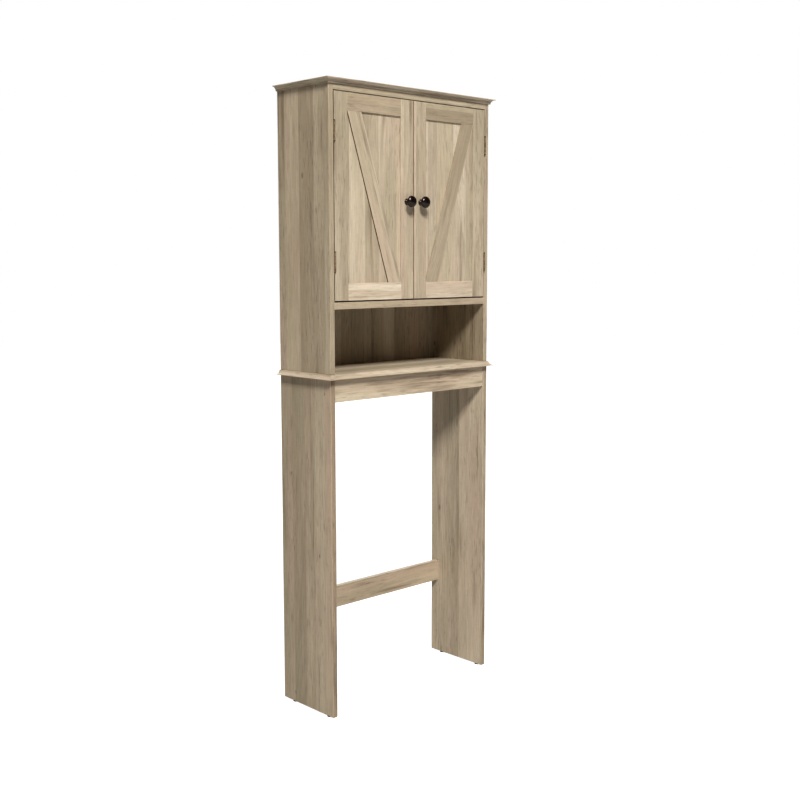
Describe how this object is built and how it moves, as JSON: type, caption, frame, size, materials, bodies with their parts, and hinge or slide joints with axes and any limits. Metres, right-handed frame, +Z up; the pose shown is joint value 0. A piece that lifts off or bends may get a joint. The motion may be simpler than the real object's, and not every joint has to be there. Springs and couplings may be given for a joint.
{
  "type": "over-toilet storage cabinet",
  "caption": "Tall free-standing bathroom cabinet on two leg panels, with braced cupboard doors above an open cubby, made to stand over a toilet.",
  "frame": {"origin": "middle of the bottom of the whole object's bounding box, on the floor; the box takes in the knobs, so it lies 121 mm in front of the plane of the back edges", "axes": "+Z up, +X to the right seen from the front, +Y towards the wall; the doors face -Y"},
  "size_m": [0.6286, 0.2422, 1.6827],
  "materials": {
    "oak_board": "matt foil-wrapped board, weathered light oak print with the grain along the board",
    "oak_moulding": "matt foil-wrapped cove strip, weathered oak print with the grain along the strip",
    "oak_door": "matt foil-wrapped door boards, weathered light oak print",
    "hardboard": "thin printed hardboard, brown oak print",
    "bronze_hinge": "dark bronze plating, satin",
    "bronze_knob": "oil-rubbed dark bronze, semi-gloss",
    "steel": "zinc-plated steel",
    "black_plastic": "matt black moulded plastic",
    "white_plastic": "matt off-white moulded plastic"
  },
  "bodies": {
    "cabinet": {"crown_board": "oak_board", "waist_board": "oak_board", "top_panel": "oak_board", "upper_side_left": "oak_board", "upper_side_right": "oak_board", "fixed_shelf": "oak_board", "leg_left": "oak_board", "leg_right": "oak_board", "apron": "oak_board", "rear_stretcher": "oak_board", "crown_moulding_front": "oak_moulding", "crown_moulding_left": "oak_moulding", "crown_moulding_right": "oak_moulding", "waist_moulding_front": "oak_moulding", "waist_moulding_left": "oak_moulding", "waist_moulding_right": "oak_moulding", "back_panel": "hardboard", "hinge_upper_left_frame_leaf": "bronze_hinge", "hinge_upper_left_pin": "bronze_hinge", "hinge_lower_left_frame_leaf": "bronze_hinge", "hinge_lower_left_pin": "bronze_hinge", "hinge_upper_right_frame_leaf": "bronze_hinge", "hinge_upper_right_pin": "bronze_hinge", "hinge_lower_right_frame_leaf": "bronze_hinge", "hinge_lower_right_pin": "bronze_hinge", "shelf_pin_front_left": "steel", "shelf_pin_rear_left": "steel", "shelf_pin_front_right": "steel", "shelf_pin_rear_right": "steel", "foot_glide_front_left": "black_plastic", "foot_glide_rear_left": "black_plastic", "foot_glide_front_right": "black_plastic", "foot_glide_rear_right": "black_plastic", "magnetic_catch": "white_plastic"},
    "door_left": {"door_left_hinge_stile": "oak_door", "door_left_meeting_stile": "oak_door", "door_left_top_rail": "oak_door", "door_left_bottom_rail": "oak_door", "door_left_centre_panel": "oak_door", "door_left_brace": "oak_door", "hinge_upper_left_door_leaf": "bronze_hinge", "hinge_lower_left_door_leaf": "bronze_hinge", "knob_left": "bronze_knob", "knob_screw_left": "steel", "strike_plate_left": "steel"},
    "door_right": {"door_right_hinge_stile": "oak_door", "door_right_meeting_stile": "oak_door", "door_right_top_rail": "oak_door", "door_right_bottom_rail": "oak_door", "door_right_centre_panel": "oak_door", "door_right_brace": "oak_door", "hinge_upper_right_door_leaf": "bronze_hinge", "hinge_lower_right_door_leaf": "bronze_hinge", "knob_right": "bronze_knob", "knob_screw_right": "steel", "strike_plate_right": "steel"},
    "shelf": {"adjustable_shelf": "oak_board"}
  },
  "joints": [
    {"name": "door_left_hinge", "type": "hinge", "parent": "cabinet", "child": "door_left", "pos_m": [-0.28263, -0.09485, 1.3855], "axis": [0, 0, -1], "range_deg": [0, 170]},
    {"name": "door_right_hinge", "type": "hinge", "parent": "cabinet", "child": "door_right", "pos_m": [0.28263, -0.09485, 1.3855], "axis": [0, 0, 1], "range_deg": [0, 170]},
    {"name": "shelf_lift", "type": "slide", "parent": "cabinet", "child": "shelf", "axis": [0, 0, 1], "range_m": [0, 0.03]}
  ]
}
